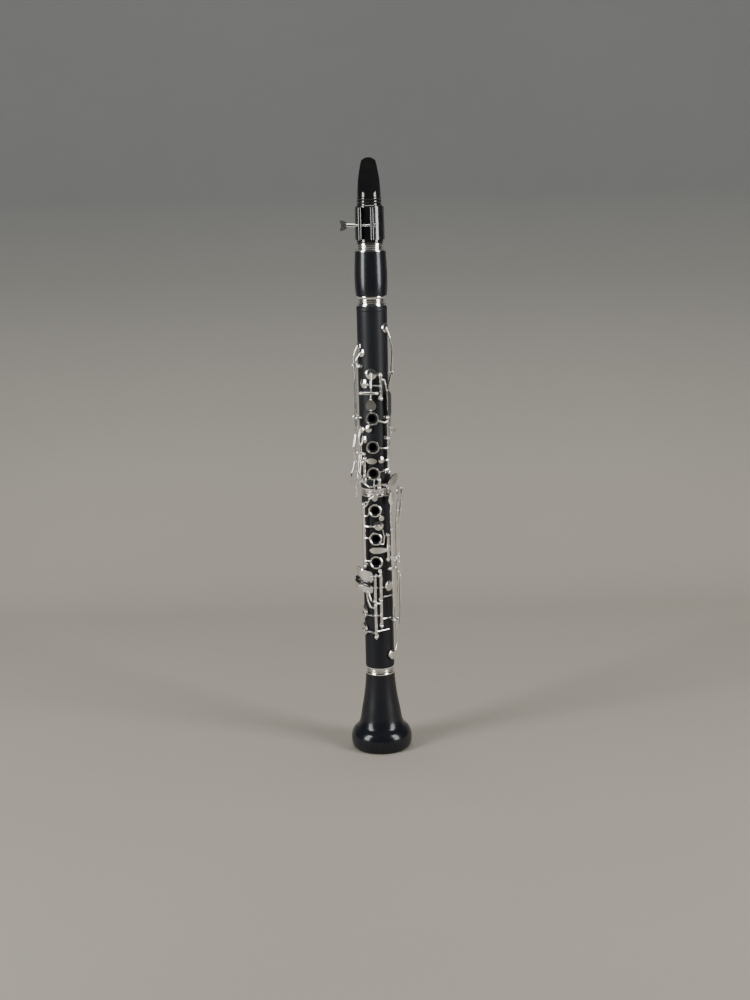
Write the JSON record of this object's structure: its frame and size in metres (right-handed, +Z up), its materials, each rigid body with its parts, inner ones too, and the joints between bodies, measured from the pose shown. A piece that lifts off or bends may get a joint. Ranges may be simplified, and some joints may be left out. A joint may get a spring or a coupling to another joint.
{
  "type": "clarinet",
  "caption": "Small clarinet: beaked mouthpiece with reed and ligature, barrel, two keyed joints with sprung plated keys and finger rings, and a flared bell.",
  "frame": {"origin": "centre of the bell's rim, on the plane the rim stands on", "axes": "+Z up the bore towards the mouthpiece, finger holes face -Y, left-little-finger levers on the +X side"},
  "size_m": [0.0602, 0.0603, 0.575],
  "materials": {
    "body_resin": "satin, finely brushed",
    "ebonite": "polished",
    "silver_plate": "polished plating",
    "nickel": "polished",
    "steel": "ground",
    "cane": "raw cane",
    "cork": "waxed cork",
    "pad_skin": "bladder skin over felt"
  },
  "bodies": {
    "instrument": {"mouthpiece": "ebonite", "reed": "cane", "ligature_band": "ebonite", "tenon_corks": "cork", "barrel": "body_resin", "barrel_rings": "silver_plate", "upper_joint": "body_resin", "lower_joint": "body_resin", "middle_ring": "silver_plate", "bell": "body_resin", "bell_ring": "silver_plate", "register_tube": "nickel", "thumb_bushing": "nickel", "thumb_rest": "silver_plate", "thumb_rest_screws": "steel", "upper_posts": "silver_plate", "lower_posts": "silver_plate", "hinge_rods": "steel"},
    "ligature_screw": {"ligature_screw": "silver_plate"},
    "register_key": {"register_key": "silver_plate", "register_key_pad": "pad_skin"},
    "a_key": {"a_key": "silver_plate", "a_key_pad": "pad_skin"},
    "g_sharp_key": {"g_sharp_key": "silver_plate", "g_sharp_key_pad": "pad_skin"},
    "side_key_1": {"side_key_1": "silver_plate", "side_key_1_pad": "pad_skin"},
    "side_key_2": {"side_key_2": "silver_plate", "side_key_2_pad": "pad_skin"},
    "side_key_3": {"side_key_3": "silver_plate", "side_key_3_pad": "pad_skin"},
    "side_key_4": {"side_key_4": "silver_plate", "side_key_4_pad": "pad_skin"},
    "l1_ring_key": {"l1_ring_key": "silver_plate", "l1_ring_key_pad": "pad_skin"},
    "l23_ring_key": {"l23_ring_key": "silver_plate", "l23_ring_key_pad": "pad_skin"},
    "thumb_ring_key": {"thumb_ring_key": "silver_plate"},
    "e_flat_sliver_key": {"e_flat_sliver_key": "silver_plate", "e_flat_sliver_key_pad": "pad_skin"},
    "c_sharp_key": {"c_sharp_key": "silver_plate", "c_sharp_key_pad": "pad_skin"},
    "lower_ring_key": {"lower_ring_key": "silver_plate", "lower_ring_key_pad": "pad_skin"},
    "b_sliver_key": {"b_sliver_key": "silver_plate", "b_sliver_key_pad": "pad_skin"},
    "a_flat_key": {"a_flat_key": "silver_plate", "a_flat_key_pad": "pad_skin"},
    "f_c_key": {"f_c_key": "silver_plate", "f_c_key_pad": "pad_skin"},
    "f_sharp_key": {"f_sharp_key": "silver_plate", "f_sharp_key_pad": "pad_skin"},
    "e_b_key": {"e_b_key": "silver_plate"},
    "e_b_pad_lever": {"e_b_pad_lever": "silver_plate", "e_b_pad_lever_pad": "pad_skin"},
    "left_f_sharp_lever": {"left_f_sharp_lever": "silver_plate"},
    "left_e_b_lever": {"left_e_b_lever": "silver_plate"},
    "left_f_c_lever": {"left_f_c_lever": "silver_plate"}
  },
  "joints": [
    {"name": "register_key_hinge", "type": "hinge", "parent": "instrument", "child": "register_key", "pos_m": [0.01725, 0.00697, 0.374], "axis": [-0.3746, 0.9272, 0], "range_deg": [0, 3.5], "stiffness_Nm_per_rad": 0.08, "springref_deg": -8},
    {"name": "a_key_hinge", "type": "hinge", "parent": "instrument", "child": "a_key", "pos_m": [-0.00273, -0.01941, 0.3586], "axis": [0.9903, -0.1392, 0], "range_deg": [0, 8], "stiffness_Nm_per_rad": 0.08, "springref_deg": -8},
    {"name": "g_sharp_key_hinge", "type": "hinge", "parent": "instrument", "child": "g_sharp_key", "pos_m": [0.00697, -0.01725, 0.3644], "axis": [0, 0, 1], "range_deg": [0, 6], "stiffness_Nm_per_rad": 0.08, "springref_deg": -8},
    {"name": "side_key_1_hinge", "type": "hinge", "parent": "instrument", "child": "side_key_1", "pos_m": [-0.01774, -0.00681, 0.334], "axis": [0.3584, -0.9336, 0], "range_deg": [0, 1.5], "stiffness_Nm_per_rad": 0.08, "springref_deg": -8},
    {"name": "side_key_2_hinge", "type": "hinge", "parent": "instrument", "child": "side_key_2", "pos_m": [-0.01774, -0.00681, 0.334], "axis": [0.3584, -0.9336, 0], "range_deg": [0, 1.5], "stiffness_Nm_per_rad": 0.08, "springref_deg": -8},
    {"name": "side_key_3_hinge", "type": "hinge", "parent": "instrument", "child": "side_key_3", "pos_m": [-0.01352, -0.01095, 0.3], "axis": [0.6293, -0.7771, 0], "range_deg": [0, 2.5], "stiffness_Nm_per_rad": 0.08, "springref_deg": -8},
    {"name": "side_key_4_hinge", "type": "hinge", "parent": "instrument", "child": "side_key_4", "pos_m": [-0.01352, -0.01095, 0.3], "axis": [0.6293, -0.7771, 0], "range_deg": [0, 2.5], "stiffness_Nm_per_rad": 0.08, "springref_deg": -8},
    {"name": "l1_ring_key_hinge", "type": "hinge", "parent": "instrument", "child": "l1_ring_key", "pos_m": [0.01275, -0.01368, 0.32435], "axis": [0, 0, 1], "range_deg": [-4.21, 0], "stiffness_Nm_per_rad": 0.08, "springref_deg": 8},
    {"name": "l23_ring_key_hinge", "type": "hinge", "parent": "instrument", "child": "l23_ring_key", "pos_m": [0.01275, -0.01368, 0.29825], "axis": [0, 0, 1], "range_deg": [-4.21, 0], "stiffness_Nm_per_rad": 0.08, "springref_deg": 8},
    {"name": "thumb_ring_key_hinge", "type": "hinge", "parent": "instrument", "child": "thumb_ring_key", "pos_m": [0.01474, 0.01151, 0.33085], "axis": [0, 0, 1], "range_deg": [0, 4.2], "stiffness_Nm_per_rad": 0.08, "springref_deg": -8},
    {"name": "e_flat_sliver_key_hinge", "type": "hinge", "parent": "instrument", "child": "e_flat_sliver_key", "pos_m": [-0.01023, -0.01358, 0.2869], "axis": [0, 0, 1], "range_deg": [0, 4.5], "stiffness_Nm_per_rad": 0.08, "springref_deg": -8},
    {"name": "c_sharp_key_hinge", "type": "hinge", "parent": "instrument", "child": "c_sharp_key", "pos_m": [0.00361, -0.01855, 0.2714], "axis": [0, 0, 1], "range_deg": [0, 4.5], "stiffness_Nm_per_rad": 0.08, "springref_deg": -8},
    {"name": "lower_ring_key_hinge", "type": "hinge", "parent": "instrument", "child": "lower_ring_key", "pos_m": [-0.01227, -0.01411, 0.2202], "axis": [0, 0, 1], "range_deg": [0, 4.2], "stiffness_Nm_per_rad": 0.08, "springref_deg": -8},
    {"name": "b_sliver_key_hinge", "type": "hinge", "parent": "instrument", "child": "b_sliver_key", "pos_m": [0.01047, -0.0134, 0.20725], "axis": [0, 0, 1], "range_deg": [-5, 0], "stiffness_Nm_per_rad": 0.08, "springref_deg": 8},
    {"name": "a_flat_key_hinge", "type": "hinge", "parent": "instrument", "child": "a_flat_key", "pos_m": [-0.00293, -0.01847, 0.16525], "axis": [0, 0, 1], "range_deg": [-6, 0], "stiffness_Nm_per_rad": 0.08, "springref_deg": 8},
    {"name": "f_c_key_hinge", "type": "hinge", "parent": "instrument", "child": "f_c_key", "pos_m": [-0.00293, -0.01847, 0.1347], "axis": [0, 0, 1], "range_deg": [-6.5, 0], "stiffness_Nm_per_rad": 0.08, "springref_deg": 8},
    {"name": "f_sharp_key_hinge", "type": "hinge", "parent": "instrument", "child": "f_sharp_key", "pos_m": [0.0026, -0.01852, 0.1427], "axis": [0, 0, 1], "range_deg": [-5.6, 0], "stiffness_Nm_per_rad": 0.08, "springref_deg": 8},
    {"name": "e_b_key_hinge", "type": "hinge", "parent": "instrument", "child": "e_b_key", "pos_m": [0.0026, -0.01852, 0.1698], "axis": [0, 0, 1], "range_deg": [-5.6, 0], "stiffness_Nm_per_rad": 0.08, "springref_deg": 8},
    {"name": "e_b_pad_lever_hinge", "type": "hinge", "parent": "instrument", "child": "e_b_pad_lever", "pos_m": [0.01644, -0.01067, 0.134], "axis": [0.5446, 0.8387, 0], "range_deg": [0, 2.81], "stiffness_Nm_per_rad": 0.08, "springref_deg": -8},
    {"name": "left_f_sharp_lever_hinge", "type": "hinge", "parent": "instrument", "child": "left_f_sharp_lever", "pos_m": [0.01419, -0.01548, 0.2], "axis": [0.7373, 0.6756, 0], "range_deg": [-2.01, 0], "stiffness_Nm_per_rad": 0.08, "springref_deg": 8},
    {"name": "left_e_b_lever_hinge", "type": "hinge", "parent": "instrument", "child": "left_e_b_lever", "pos_m": [0.01893, -0.00863, 0.196], "axis": [0.4147, 0.91, 0], "range_deg": [-2.01, 0], "stiffness_Nm_per_rad": 0.08, "springref_deg": 8},
    {"name": "left_f_c_lever_hinge", "type": "hinge", "parent": "instrument", "child": "left_f_c_lever", "pos_m": [0.02079, -0.00073, 0.19], "axis": [0.0349, 0.9994, 0], "range_deg": [-2.01, 0], "stiffness_Nm_per_rad": 0.08, "springref_deg": 8},
    {"name": "ligature_screw_turn", "type": "hinge", "parent": "instrument", "child": "ligature_screw", "pos_m": [-0.00353, -0.01417, 0.514], "axis": [0.9703, -0.2419, 0], "range_deg": [-180, 180]}
  ],
  "couplings": [
    {"joint": "l1_ring_key_hinge", "follows": "thumb_ring_key_hinge", "ratio": -1},
    {"joint": "l23_ring_key_hinge", "follows": "lower_ring_key_hinge", "ratio": -1},
    {"joint": "e_b_pad_lever_hinge", "follows": "e_b_key_hinge", "ratio": -0.5},
    {"joint": "left_e_b_lever_hinge", "follows": "e_b_key_hinge", "ratio": 0.3571},
    {"joint": "left_f_sharp_lever_hinge", "follows": "f_sharp_key_hinge", "ratio": 0.3571},
    {"joint": "left_f_c_lever_hinge", "follows": "f_c_key_hinge", "ratio": 0.3077}
  ]
}
